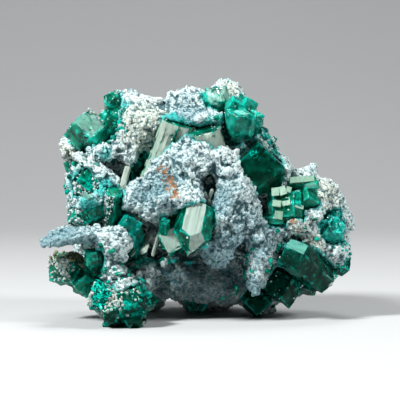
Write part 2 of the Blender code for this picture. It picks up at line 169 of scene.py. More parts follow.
def wrinkles(points: np.ndarray, size: float, seed: int) -> np.ndarray:
    """Crumbly ridges: three soft noises, each half as wide and half as high, folded at their middle.

    Args:
        points: Places in metres.
        size: The widest noise's cubes in metres.
        seed: Picks another pattern.

    Returns:
        A number from 0 in the folds to about 1 on the ridges.
    """
    folds = [np.abs(2.0 * soft_noise(points, size / 2**k, seed + k) - 1.0) / 2**k for k in range(3)]
    return 1.0 - sum(folds) / 1.1


# Surfaces as arrays


@dataclass
class Skin:
    """A surface as arrays: its points in metres, and its triangles as rows of point numbers."""

    points: np.ndarray
    faces: np.ndarray

    def face_crosses(self) -> np.ndarray:
        """Each triangle's normal, as long as twice its area."""
        a, b, c = (self.points[self.faces[:, k]] for k in range(3))
        return np.cross(b - a, c - a)

    def face_centres(self) -> np.ndarray:
        """The middle of each triangle."""
        return self.points[self.faces].mean(axis=1)

    def normals(self) -> np.ndarray:
        """The normal at each point: the sum of its triangles' normals by area, at length one."""
        crosses = self.face_crosses()
        total = np.zeros_like(self.points)
        for axis in range(3):
            spread = np.repeat(crosses[:, axis], 3)
            total[:, axis] = np.bincount(self.faces.ravel(), spread, len(self.points))
        return unit(total)

    def sides(self) -> np.ndarray:
        """The three sides of every triangle, as rows of two point numbers, the lower first."""
        pairs = np.concatenate([self.faces[:, (0, 1)], self.faces[:, (1, 2)], self.faces[:, (2, 0)]])
        return np.sort(pairs, axis=1)

    def edges(self) -> np.ndarray:
        """Each edge once, as a row of two point numbers, the lower first."""
        return np.unique(self.sides(), axis=0)

    def smoothed(self, rounds: int) -> np.ndarray:
        """The points after each has moved to the mean of its neighbours this many times."""
        pairs = self.edges()
        ends = np.concatenate([pairs[:, 0], pairs[:, 1]])
        others = np.concatenate([pairs[:, 1], pairs[:, 0]])
        count = np.maximum(np.bincount(ends, minlength=len(self.points)), 1)
        moved = self.points.copy()
        for _ in range(rounds):
            for axis in range(3):
                moved[:, axis] = np.bincount(ends, moved[others, axis], len(moved)) / count
        return moved

    def scatter(self, count: int, rng: np.random.Generator, weight: np.ndarray | None = None) -> tuple:
        """Random places on the surface, even by area.

        Args:
            count: How many places.
            rng: Where the random numbers come from.
            weight: A factor for each triangle's chance.

        Returns:
            The places, the normals there, and the triangle that each is on.
        """
        crosses = self.face_crosses()
        chance = np.linalg.norm(crosses, axis=1) * (1.0 if weight is None else weight)
        picked = rng.choice(len(self.faces), count, p=chance / chance.sum())
        u, v = rng.random((2, count, 1))
        over = (u + v) > 1.0
        u, v = np.where(over, 1.0 - u, u), np.where(over, 1.0 - v, v)
        a, b, c = (self.points[self.faces[picked, k]] for k in range(3))
        return a + u * (b - a) + v * (c - a), unit(crosses[picked]), picked


def keep_above_floor(points: np.ndarray) -> None:
    """Brings the points that lie below the floor up to it."""
    points[:, 2] = np.maximum(points[:, 2], 0.0)


def joined(skins: list[Skin]) -> Skin:
    """Several surfaces as one."""
    starts = np.cumsum([0] + [len(s.points) for s in skins[:-1]])
    faces = [skin.faces + start for skin, start in zip(skins, starts)]
    return Skin(np.concatenate([s.points for s in skins]), np.concatenate(faces))


def skin_of(obj: bpy.types.Object) -> Skin:
    """The points and triangles of an object's mesh."""
    mesh = obj.data
    points = np.zeros(len(mesh.vertices) * 3, np.float32)
    mesh.vertices.foreach_get("co", points)
    mesh.calc_loop_triangles()
    faces = np.zeros(len(mesh.loop_triangles) * 3, np.int32)
    mesh.loop_triangles.foreach_get("vertices", faces)
    return Skin(points.reshape(-1, 3).astype(float), faces.reshape(-1, 3))


def node_skin(name: str) -> Skin:
    """A CAD node's surface with its loose triangles joined at their corners."""
    loose = skin_of(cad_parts[name])
    _, first, back = np.unique(
        np.round(loose.points / MERGE).astype(np.int64), axis=0, return_index=True, return_inverse=True
    )
    faces = back.reshape(-1)[loose.faces]
    whole = (faces[:, 0] != faces[:, 1]) & (faces[:, 1] != faces[:, 2]) & (faces[:, 2] != faces[:, 0])
    return Skin(loose.points[first], faces[whole])


def new_object(skin: Skin, name: str) -> bpy.types.Object:
    """An object with this surface, at the origin."""
    mesh = bpy.data.meshes.new(name)
    mesh.vertices.add(len(skin.points))
    mesh.vertices.foreach_set("co", skin.points.astype(np.float32).ravel())
    mesh.loops.add(len(skin.faces) * 3)
    mesh.loops.foreach_set("vertex_index", skin.faces.astype(np.int32).ravel())
    mesh.polygons.add(len(skin.faces))
    mesh.polygons.foreach_set("loop_start", np.arange(0, len(skin.faces) * 3, 3, dtype=np.int32))
    mesh.update(calc_edges=True)
    obj = bpy.data.objects.new(name, mesh)
    bpy.context.scene.collection.objects.link(obj)
    return obj


def settle(obj: bpy.types.Object) -> None:
    """Puts the result of an object's modifiers into its mesh."""
    graph = bpy.context.evaluated_depsgraph_get()
    made = bpy.data.meshes.new_from_object(obj.evaluated_get(graph))
    obj.modifiers.clear()
    old, obj.data = obj.data, made
    bpy.data.meshes.remove(old)


def modify(obj: bpy.types.Object, kind: str, **settings: object) -> None:
    """Adds a modifier with these settings and puts its result into the mesh."""
    modifier = obj.modifiers.new(kind.lower(), kind)
    for name, value in settings.items():
        setattr(modifier, name, value)
    settle(obj)


def paint(
    obj: bpy.types.Object, name: str, values: np.ndarray | float, domain: str = "POINT"
) -> None:
    """Stores one number for each point or face, or the same one for all, for the materials."""
    layer = obj.data.attributes.new(name, "FLOAT", domain)
    layer.data.foreach_set("value", np.full(len(layer.data), values, np.float32))


def remove(obj: bpy.types.Object) -> None:
    """Removes a helper object."""
    bpy.data.objects.remove(obj, do_unlink=True)


class Nearest(Enum):
    """What a distance is measured to."""

    FACES = "FACES"
    EDGES = "EDGES"


def distances(obj: bpy.types.Object, target: bpy.types.Object, kind: Nearest) -> np.ndarray:
    """How far each point of an object lies from another object, by a Geometry Proximity node.

    Args:
        obj: The object whose points are measured.
        target: The object that they are measured to.
        kind: Whether to its faces or to its edges.

    Returns:
        One distance in metres for each point.
    """
    tree = bpy.data.node_groups.new("nearest", "GeometryNodeTree")
    for way in ("INPUT", "OUTPUT"):
        tree.interface.new_socket("Geometry", in_out=way, socket_type="NodeSocketGeometry")
    entry, leave = tree.nodes.new("NodeGroupInput"), tree.nodes.new("NodeGroupOutput")
    other = tree.nodes.new("GeometryNodeObjectInfo")
    other.inputs["Object"].default_value = target
    near = tree.nodes.new("GeometryNodeProximity")
    near.target_element = kind.value
    store = tree.nodes.new("GeometryNodeStoreNamedAttribute")
    store.inputs["Name"].default_value = "gap"
    tree.links.new(other.outputs["Geometry"], near.inputs[0])
    tree.links.new(entry.outputs[0], store.inputs["Geometry"])
    tree.links.new(near.outputs["Distance"], store.inputs["Value"])
    tree.links.new(store.outputs[0], leave.inputs[0])
    modify(obj, "NODES", node_group=tree)
    values = np.zeros(len(obj.data.vertices), np.float32)
    layer = obj.data.attributes["gap"]
    layer.data.foreach_get("value", values)
    obj.data.attributes.remove(layer)
    bpy.data.node_groups.remove(tree)
    return values.astype(float)


def refined(skin: Skin, longest: float) -> Skin:
    """Halves every edge that is longer than the limit, until none is.

    A triangle with one, two or three halved edges becomes two, three or four triangles.
    """
    points, faces = skin.points, skin.faces
    while True:
        pairs = np.sort(np.stack([faces, np.roll(faces, -1, axis=1)], axis=2), axis=2)
        flat = pairs.reshape(-1, 2)
        edges, back = np.unique(flat, axis=0, return_inverse=True)
        length = np.linalg.norm(points[edges[:, 0]] - points[edges[:, 1]], axis=1)
        cut = length > longest
        if not cut.any():
            return Skin(points, faces)
        number = np.where(cut, np.cumsum(cut) - 1 + len(points), -1)
        points = np.concatenate([points, points[edges[cut]].mean(axis=1)])
        middle = number[back.reshape(-1)].reshape(-1, 3)
        halved = (middle >= 0).sum(axis=1)
        made = [faces[halved == 0]]
        for turn in range(3):
            a, b, c = (faces[:, (turn + k) % 3] for k in range(3))
            ab, bc, ca = (middle[:, (turn + k) % 3] for k in range(3))
            one = (halved == 1) & (ab >= 0)
            made += [np.stack(t, axis=1)[one] for t in ((a, ab, c), (ab, b, c))]
            two = (halved == 2) & (ca < 0)
            made += [np.stack(t, axis=1)[two] for t in ((ab, b, bc), (a, ab, bc), (a, bc, c))]
        a, b, c = faces[halved == 3].T
        ab, bc, ca = middle[halved == 3].T
        made += [np.stack(t, axis=1) for t in ((a, ab, ca), (ab, b, bc), (ca, bc, c), (ab, bc, ca))]
        faces = np.concatenate(made)


def sharp_edges(skin: Skin, least: float) -> np.ndarray:
    """The edges whose two faces meet at more than an angle.

    Args:
        skin: A closed surface of triangles.
        least: The angle in radians.

    Returns:
        Rows of two point numbers.
    """
    facing = unit(skin.face_crosses())
    owner = np.tile(np.arange(len(skin.faces)), 3)
    edges, back = np.unique(skin.sides(), axis=0, return_inverse=True)
    back = back.reshape(-1)
    order = np.argsort(back, kind="stable")
    count = np.bincount(back, minlength=len(edges))
    starts = np.cumsum(count) - count
    both = count == 2
    first, second = owner[order[starts[both]]], owner[order[starts[both] + 1]]
    bent = (facing[first] * facing[second]).sum(axis=1) < math.cos(least)
    return edges[both][bent]


# Shader nodes written as expressions


class Value:
    """A socket of a material that adds a node wherever it is used in an expression."""

    def __init__(self, shading: "Shading", socket: bpy.types.NodeSocket) -> None:
        """Wraps one output socket."""
        self.shading = shading
        self.socket = socket

    def _math(self, operation: str, left: object, right: object = 0.0) -> "Value":
        """One Math node."""
        return self.shading.add("ShaderNodeMath", {"operation": operation}, {0: left, 1: right})

    def __add__(self, other: object) -> "Value":
        """The sum."""
        return self._math("ADD", self, other)

    __radd__ = __add__

    def __mul__(self, other: object) -> "Value":
        """The product."""
        return self._math("MULTIPLY", self, other)

    __rmul__ = __mul__

    def __sub__(self, other: object) -> "Value":
        """The difference."""
        return self._math("SUBTRACT", self, other)

    def __rsub__(self, other: object) -> "Value":
        """The difference with the socket taken away."""
        return self._math("SUBTRACT", other, self)

    def at_most(self, other: object) -> "Value":
        """The smaller of the two."""
        return self._math("MINIMUM", self, other)

    def at_least(self, other: object) -> "Value":
        """The larger of the two."""
        return self._math("MAXIMUM", self, other)

    def ramp(self, low: float, high: float) -> "Value":
        """0 below low and 1 above high, with a smooth S between them; low may be the larger."""
        settings = {"interpolation_type": "SMOOTHSTEP"}
        if low > high:
            return 1.0 - self.ramp(high, low)
        return self.shading.add(
            "ShaderNodeMapRange", settings, {"Value": self, "From Min": low, "From Max": high}
        )


class Shading:
    """A new material and the nodes that it is made of."""

    def __init__(self, name: str) -> None:
        """Makes the material with an output and nothing else."""
        self.material = bpy.data.materials.new(name)
        self.material.use_nodes = True
        self.tree = self.material.node_tree
        self.tree.nodes.clear()
        self.output = self.tree.nodes.new("ShaderNodeOutputMaterial")
        self.place = self.add("ShaderNodeTexCoord", output="Object")

    def add(
        self, kind: str, settings: dict | None = None, inputs: dict | None = None, output: object = 0
    ) -> Value:
        """Adds a node.

        Args:
            kind: The node's type.
            settings: Its own settings, set first.
            inputs: Values or sockets for its inputs, by name or number.
            output: The output that is used further on.

        Returns:
            That output.
        """
        node = self.tree.nodes.new(kind)
        for name, value in (settings or {}).items():
            setattr(node, name, value)
        for name, value in (inputs or {}).items():
            if isinstance(value, Value):
                self.tree.links.new(value.socket, node.inputs[name])
            elif isinstance(value, tuple) and len(value) == 3 and node.inputs[name].type == "RGBA":
                node.inputs[name].default_value = (*value, 1.0)
            else:
                node.inputs[name].default_value = value
        return Value(self, node.outputs[output])

    def mix(self, share: object, first: object, second: object) -> Value:
        """A colour between two, by a share from 0 to 1."""
        inputs = {0: share, 6: first, 7: second}
        return self.add("ShaderNodeMix", {"data_type": "RGBA"}, inputs, output=2)

    def noise(self, size: float, detail: float = 3.0, warp: float = 0.0, place: Value | None = None) -> Value:
        """Cloudy noise of patches about this many metres wide."""
        inputs = {"Vector": place or self.place, "Scale": 1.0 / size, "Detail": detail, "Distortion": warp}
        return self.add("ShaderNodeTexNoise", {}, inputs)

    def cells(self, size: float, place: Value | None = None) -> Value:
        """Distance to the nearest of scattered points, about this many metres apart."""
        return self.add("ShaderNodeTexVoronoi", {}, {"Vector": place or self.place, "Scale": 1.0 / size})

    def stored(self, name: str) -> Value:
        """A number stored on the mesh."""
        return self.add("ShaderNodeAttribute", {"attribute_name": name}, output="Fac")

    def along(self, direction: Vector, stretch: float) -> Value:
        """Object coordinates turned to a direction, and drawn out along it.

        Args:
            direction: The way that lines run.
            stretch: How much longer the pattern is that way.

        Returns:
            The new coordinates.
        """
        axis = direction.normalized()
        side = axis.orthogonal().normalized()
        axes = (side, axis.cross(side), axis / stretch)
        dot = {"operation": "DOT_PRODUCT"}
        parts = [self.add("ShaderNodeVectorMath", dot, {0: self.place, 1: tuple(a)}, "Value") for a in axes]
        return self.add("ShaderNodeCombineXYZ", {}, dict(enumerate(parts)))

    def bump(self, height: Value, depth: float, strength: float = 1.0) -> Value:
        """A normal that follows a height from 0 to 1, this many metres deep."""
        return self.add("ShaderNodeBump", {}, {"Height": height, "Distance": depth, "Strength": strength})

    def principled(self, inputs: dict) -> Value:
        """A Principled shader."""
        return self.add("ShaderNodeBsdfPrincipled", {}, inputs)

    def finish(self, surface: Value, volume: Value | None = None) -> bpy.types.Material:
        """Links the surface, and the volume where there is one, and returns the material."""
        self.tree.links.new(surface.socket, self.output.inputs["Surface"])
        if volume:
            self.tree.links.new(volume.socket, self.output.inputs["Volume"])
        return self.material


@dataclass(frozen=True)
class CrustFinish:
    """Dull grainy crust: blue-white with painted light on its grain tops, painted shade in its pits, crevices
    and recesses, with stains and green films.
    """

    name: str = "crust"
    pale: Colour = (0.72, 0.84, 0.83)
    shade: Colour = (0.26, 0.42, 0.46)
    # Painted shade in pits and crevices.
    crevice_shade_colour: Colour = (0.03, 0.11, 0.13)
    teal: Colour = (0.01, 0.55, 0.51)
    cream: Colour = (0.70, 0.74, 0.62)
    # Painted shade under overhangs and on the recessed lower crust.
    dusk: Colour = (0.030, 0.060, 0.066)
    rust: Colour = (0.34, 0.145, 0.045)
    film_reach: float = 0.0018

    def material(self) -> bpy.types.Material:
        """Makes the material."""
        s = Shading(self.name)
        broad, blotch = s.noise(0.0055), s.noise(0.0022)
        fine, speck = s.noise(0.0009, 4.0), s.noise(0.00035, 2.0)
        grains = 1.0 - s.cells(0.0009) * 0.8 - s.cells(0.00045) * 0.45 + speck * 0.3
        # Painted light and shade: grain tops are lighter, and the slate patches pull the tone to the darker
        # colour away from the lit top. The broad and fine noise is random tone.
        slate = s.stored("slate") * (0.5 + blotch * 0.6 + fine * 0.4)
        tone = (broad * 0.6 + fine * 0.5 + grains * 0.35 - slate * 0.5).ramp(0.36, 0.84)
        colour = s.mix(tone, self.shade, self.pale)
        cream = (s.stored("cream") * (0.55 + fine)).ramp(0.25, 0.75) * (0.4 + grains * 0.6)
        colour = s.mix(cream, colour, self.cream)
        # Painted shade under overhangs and on the recessed lower crust.
        dusk = (s.stored("dusk") * (0.3 + fine * 0.5 + blotch * 0.5)).ramp(0.2, 0.95) * 0.9
        colour = s.mix(dusk, colour, self.dusk)
        film = s.stored("crystal_gap").ramp(self.film_reach, self.film_reach * 0.2)
        film = (film * (blotch * 1.2 + speck * 0.6)).ramp(0.38, 0.85) * 0.85
        teal = (s.stored("teal") * (0.35 + speck * 0.7 + blotch * 0.5)).ramp(0.22, 0.7) * 0.9
        colour = s.mix(teal.at_least(film), colour, self.teal)
        # Painted shade in the crevices and in the low places between grains.
        depth = s.stored("hollow") + (0.70 - grains).at_least(0.0) * 1.5
        colour = s.mix(depth.ramp(0.15, 1.0) * 0.9, colour, self.crevice_shade_colour)
        colour = s.mix((s.stored("rust") * s.noise(0.0009, 5.0)).ramp(0.36, 0.52) * 0.85, colour, self.rust)
        relief = fine * 0.45 + speck * 0.5 + grains * 0.6
        return s.finish(
            s.principled(
                {
                    "Base Color": colour,
                    "Roughness": 0.7 + fine * 0.3,
                    "Specular IOR Level": 0.2,
                    "Normal": s.bump(relief, 0.0010, 1.0),
                }
            )
        )


@dataclass(frozen=True)
class CrystalFinish:
    """Clear emerald crystal, with pale faces that are partly frosted and partly painted reflection, painted
    rim highlights and glints, a painted glow inside, and fine lengthwise lines.
    """

    name: str = "dioptase"
    deep: Colour = (0.0, 0.040, 0.024)
    body: Colour = (0.0, 0.27, 0.16)
    # Colour of the painted glow, glints and rim highlights.
    painted_glow_colour: Colour = (0.0, 0.70, 0.54)
    # Colour of the pale faces: partly frosting and partly painted reflection.
    frost: Colour = (0.33, 0.60, 0.52)
    lines: Place = (0.0, 0.0, 1.0)
    line_depth: float = 0.00012
    clear: float = 0.38
    density: float = 240.0
    gleam: float = 0.16
    # Strengths of the painted crack glints and of the painted rim highlights.
    painted_glints: float = 0.85
    painted_rim_lights: float = 0.8
    sheen_tint: Colour = (0.45, 0.85, 0.72)
    absorbed: Colour = (0.0, 0.74, 0.52)

    def material(self) -> bpy.types.Material:
        """Makes the material."""
        s = Shading(self.name)
        cloud, mottle = s.noise(0.0048, 3.0, 0.8), s.noise(0.0016, 4.0, 0.4)
        crack = s.noise(0.0028, 5.0, 1.6)
        streak = s.noise(0.0007, 3.0, 0.0, s.along(Vector(self.lines), 14.0))
        # Painted highlights along the crystal edges, where cracks cross them.
        painted_rim_light = s.stored("edge_gap").ramp(0.0009, 0.0001) * crack.ramp(0.42, 0.62)
        colour = s.mix((cloud * 0.75 + mottle * 0.3).ramp(0.40, 0.66), self.deep, self.body)
        # Painted glints: fine bright specks and crack streaks that stand in for light.
        painted_glints = s.noise(0.0013, 4.0, 1.8).ramp(0.48, 0.60)
        # Painted glow of light inside the crystal, in spots and glinting specks.
        glow = s.stored("glow") * (0.2 + crack * 0.35 + painted_glints * 0.7)
        painted_crack_glints = (crack * 0.6 + mottle * 0.5).ramp(0.60, 0.78) * self.painted_glints
        glow = painted_rim_light * self.painted_rim_lights + painted_crack_glints + glow.ramp(0.3, 0.95)
        colour = s.mix(glow.at_most(1.0), colour, self.painted_glow_colour)
        # Pale faces: partly frosting and partly a painted reflection, on faces that face a given way.
        frost = (s.stored("frost") * (0.55 + streak * 0.6 + mottle * 0.35)).ramp(0.12, 0.95)
        relief = streak * 0.7 + mottle * 0.3
        normal = s.bump(relief, self.line_depth, 0.8)
        clear = s.principled(
            {
                "Base Color": colour,
                "Roughness": 0.08 + mottle * 0.25,
                "IOR": REFRACTION,
                "Specular IOR Level": self.gleam,
                "Specular Tint": self.sheen_tint,
                "Transmission Weight": self.clear,
                "Normal": normal,
            }
        )
        frost_glare_shader = s.principled(
            {
                "Base Color": s.mix(streak.ramp(0.3, 0.75), self.frost, tuple(0.55 * c for c in self.frost)),
                "Roughness": 0.35 + mottle * 0.3,
                "IOR": REFRACTION,
                "Specular IOR Level": 0.3,
                "Transmission Weight": 0.15,
                "Normal": normal,
            }
        )
        surface = s.add("ShaderNodeMixShader", {}, {0: frost * 0.9, 1: clear, 2: frost_glare_shader})
        inputs = {"Color": self.absorbed, "Density": self.density}
        return s.finish(surface, s.add("ShaderNodeVolumeAbsorption", {}, inputs))


# Pieces of the specimen


@dataclass(frozen=True)
class Spot:
    """A soft-edged ball of influence: its centre and radius in mm, and its strength."""

    centre: Place
    radius: float
    strength: float = 1.0

    def weight(self, points: np.ndarray) -> np.ndarray:
        """The strength at each point: a bell curve of its distance from the centre."""
        away = np.linalg.norm(points - metres(self.centre), axis=1) / (self.radius * MM)
        return self.strength * np.exp(-(away**2))


def spots(*rows: tuple[float, ...]) -> tuple[Spot, ...]:
    """Spots from rows of X, Y, Z and radius in mm, and a strength where it isn't one."""
    return tuple(Spot(row[:3], *row[3:]) for row in rows)


def strongest(balls: tuple[Spot, ...], points: np.ndarray) -> np.ndarray:
    """The largest weight of several spots at each point."""
    return np.max([ball.weight(points) for ball in balls], axis=0)


def grain_template() -> Skin:
    """A round grain: a twenty-sided ball with each face split in four, of radius one."""
    golden = (1.0 + math.sqrt(5.0)) / 2.0
    corners = [(0, a, b * golden) for a in (-1, 1) for b in (-1, 1)]
    corners = np.array([np.roll(c, k) for k in range(3) for c in corners], float)
    apart = np.linalg.norm(corners[:, None] - corners[None], axis=2)
    near = np.abs(apart - 2.0) < 1e-6
    faces = [(i, j, k) for i in range(12) for j in range(i + 1, 12) for k in range(j + 1, 12)]
    faces = np.array([f for f in faces if near[f[0], f[1]] and near[f[1], f[2]] and near[f[0], f[2]]])
    skin = Skin(unit(corners), faces)
    inward = (skin.face_crosses() * skin.face_centres()).sum(axis=1) < 0
    skin.faces[inward] = skin.faces[inward][:, ::-1]
    fine = refined(skin, 1.0)
    return Skin(unit(fine.points), fine.faces)


def crystal_template() -> Skin:
    """A six-sided prism of radius and length one with three end faces that slope 51 degrees.

    Every second top corner lies lower, so that each end face is a rhomb from the tip to a low corner.
    """
    slope = math.tan(END_SLOPE)
    k = np.arange(PRISM_SIDES)
    turn = k * math.pi / 3.0
    ring = np.stack([np.cos(turn), np.sin(turn)], axis=1)
    drop = np.where(k % 2 == 0, slope, slope / 2.0)
    low = np.column_stack([ring, np.full(PRISM_SIDES, -1.0)])
    high = np.column_stack([ring, -drop])
    points = np.concatenate([low, high, [(0.0, 0.0, 0.0)]])
    after = (k + 1) % PRISM_SIDES
    over, over_after = k + PRISM_SIDES, after + PRISM_SIDES
    sides = np.concatenate([np.stack([k, after, over_after], 1), np.stack([k, over_after, over], 1)])
    peak = np.stack([over, over_after, np.full(PRISM_SIDES, CRYSTAL_POINTS - 1)], axis=1)
    foot = np.stack([np.zeros(4, int), k[2:], k[1:5]], axis=1)
    return Skin(points, np.concatenate([sides, peak, foot]))


def plate_template() -> Skin:
    """A flat plate of half width and half thickness one, that ends squarely at 0 and at minus one."""
    corners = np.array([(x, y, z) for z in (-1, 0) for x, y in ((-1, -1), (1, -1), (1, 1), (-1, 1))], float)
    k = np.arange(PLATE_SIDES)
    after = (k + 1) % PLATE_SIDES
    over, over_after = k + PLATE_SIDES, after + PLATE_SIDES
    sides = np.concatenate([np.stack([k, after, over_after], 1), np.stack([k, over_after, over], 1)])
    return Skin(corners, np.concatenate([sides, [(0, 2, 1), (0, 3, 2), (4, 5, 6), (4, 6, 7)]]))


def placed(template: Skin, places: np.ndarray, frames: np.ndarray) -> Skin:
    """Copies of a template, each turned and scaled by its own three axes and moved to its place.

    Args:
        template: The surface that is repeated.
        places: The place of each copy.
        frames: Three axis rows for each copy, each as long as the scale along it.

    Returns:
        All the copies as one surface.
    """
    points = np.einsum("pk,nkj->npj", template.points, frames) + places[:, None]
    starts = np.arange(len(places)) * len(template.points)
    faces = template.faces[None] + starts[:, None, None]
    return Skin(points.reshape(-1, 3), faces.reshape(-1, 3))


def turned_frames(axes: np.ndarray, rng: np.random.Generator) -> np.ndarray:
    """Three square axes for each row, the third along it and the others at a random turn."""
    helper = unit(rng.normal(size=axes.shape))
    across = unit(np.cross(axes, helper))
    return np.stack([across, np.cross(axes, across), axes], axis=1)


@dataclass
class Crust:
    """The grainy crust: its solid with grains melted onto it, pits, and coloured patches, some of them
    painted shade.
    """

    node: str = "crust"
    lumps: int = 620
    lump_radius: tuple = (0.7, 1.7)
    grains: int = 17000
    grain_radius: tuple = (0.22, 0.56)
    voxel: float = 0.23
    triangles: int = 196000
    clearance: float = 0.35
    teal: tuple[Spot, ...] = ()
    cream: tuple[Spot, ...] = ()
    rust: tuple[Spot, ...] = ()
    # Painted shade under overhangs and on the recessed lower crust.
    dusk: tuple[Spot, ...] = ()
    # Painted shade: darker slate-grey patches on the centre and lower parts.
    slate: tuple[Spot, ...] = ()

    def grown(self, solid: Skin, crystals: bpy.types.Object, rng: np.random.Generator) -> Skin:
        """The solid with balls of two sizes set on it, apart from its sockets."""
        parts = [solid]
        template = grain_template()
        for count, (small, large) in ((self.lumps, self.lump_radius), (self.grains, self.grain_radius)):
            places, normals, _ = solid.scatter(count, rng)
            probe = new_object(Skin(places, np.zeros((0, 3), int)), "probe")
            gap = distances(probe, crystals, Nearest.FACES)
            remove(probe)
            keep = gap > self.clearance * MM
            radius = rng.uniform(small, large, keep.sum()) * MM
            frames = turned_frames(unit(rng.normal(size=(keep.sum(), 3))), rng)
            squash = rng.uniform(0.55, 1.25, (keep.sum(), 3, 1))
            lift = normals[keep] * (radius * rng.uniform(-0.2, 0.4, len(radius)))[:, None]
            parts.append(placed(template, places[keep] + lift, frames * squash * radius[:, None, None]))
        return joined(parts)

    def roughened(self, obj: bpy.types.Object, crystals: bpy.types.Object) -> None:
        """Raises fine grains and sinks pits and creases, less near a crystal, and keeps the base level.

        The creases run where a broad soft noise passes through its middle.
        """
        skin = skin_of(obj)
        gap = distances(obj, crystals, Nearest.FACES)
        free = smooth_step(gap, 0.1 * MM, 0.6 * MM)
        p = skin.points
        rise = 0.26 * (pebbles(p, 1.6 * MM, 3) - 0.6) + 0.50 * (wrinkles(p, 1.1 * MM, 9) - 0.6)
        rise += 0.20 * (pebbles(p, 0.8 * MM, 13) - 0.6)
        pits = patches(p, 1.7, 5, 0.60, 0.85) * patches(p, 6.0, 6, 0.35, 0.6)
        fold = 1.0 - np.abs(2.0 * soft_noise(p, 3.4 * MM, 15) - 1.0)
        broken = patches(p, 5.0, 16, 0.3, 0.6) * patches(p, 1.6, 17, 0.3, 0.65)
        crease = smooth_step(fold, 0.78, 1.0) * broken
        moved = p + skin.normals() * (free * (rise - 0.25 * pits - 0.7 * crease) * MM)[:, None]
        keep_above_floor(moved)
        obj.data.vertices.foreach_set("co", moved.astype(np.float32).ravel())
        obj.data.update()

    def dressed(self, obj: bpy.types.Object, crystals: bpy.types.Object) -> None:
        """Stores each point's crevice depth for painted shade, how near a crystal it is, and which patches it
        belongs to, painted shade patches among them.
        """
        paint(obj, "crystal_gap", distances(obj, crystals, Nearest.FACES))
        skin = skin_of(obj)
        normals = skin.normals()
        # How deep each point lies in a crevice, at two sizes, stored for the painted shade there.
        near = ((skin.smoothed(3) - skin.points) * normals).sum(axis=1)
        far = ((skin.smoothed(24) - skin.points) * normals).sum(axis=1)
        paint(obj, "hollow", np.clip(near / (0.18 * MM), 0, 1) * 0.4 + np.clip(far / (0.7 * MM), 0, 1) * 0.75)
        # Teal, cream and rust are the crust's own colours; the other two are painted shade.
        for name in ("teal", "cream", "rust", "dusk", "slate"):
            paint(obj, name, np.clip(strongest(getattr(self, name), skin.points), 0, 1))

    def build(self, crystals: bpy.types.Object) -> bpy.types.Object:
        """Makes the crust.

        Args:
            crystals: All crystals as one helper object, which the grains stay clear of.

        Returns:
            The finished piece.
        """
        rng = np.random.default_rng(SEED)
        obj = new_object(self.grown(node_skin(self.node), crystals, rng), "grainy_crust")
        modify(obj, "REMESH", mode="VOXEL", voxel_size=self.voxel * MM)
        self.roughened(obj, crystals)
        count = len(skin_of(obj).faces)
        modify(obj, "DECIMATE", ratio=min(1.0, self.triangles / count), use_collapse_triangulate=True)
        level = skin_of(obj).points
        keep_above_floor(level)
        obj.data.vertices.foreach_set("co", level.astype(np.float32).ravel())
        self.dressed(obj, crystals)
        obj.data.shade_smooth()
        obj.data.materials.clear()
        obj.data.materials.append(CrustFinish().material())
        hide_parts(self.node)
        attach(obj, "root")
        return obj


@dataclass(frozen=True)
class Sheen:
    """Faces that are frosted and carry a painted reflection of the light: which way they face, the ball they
    lie in, and how strongly.
    """

    facing: Place
    centre: Place
    radius: float
    strength: float = 1.0
    spread: float = 0.12


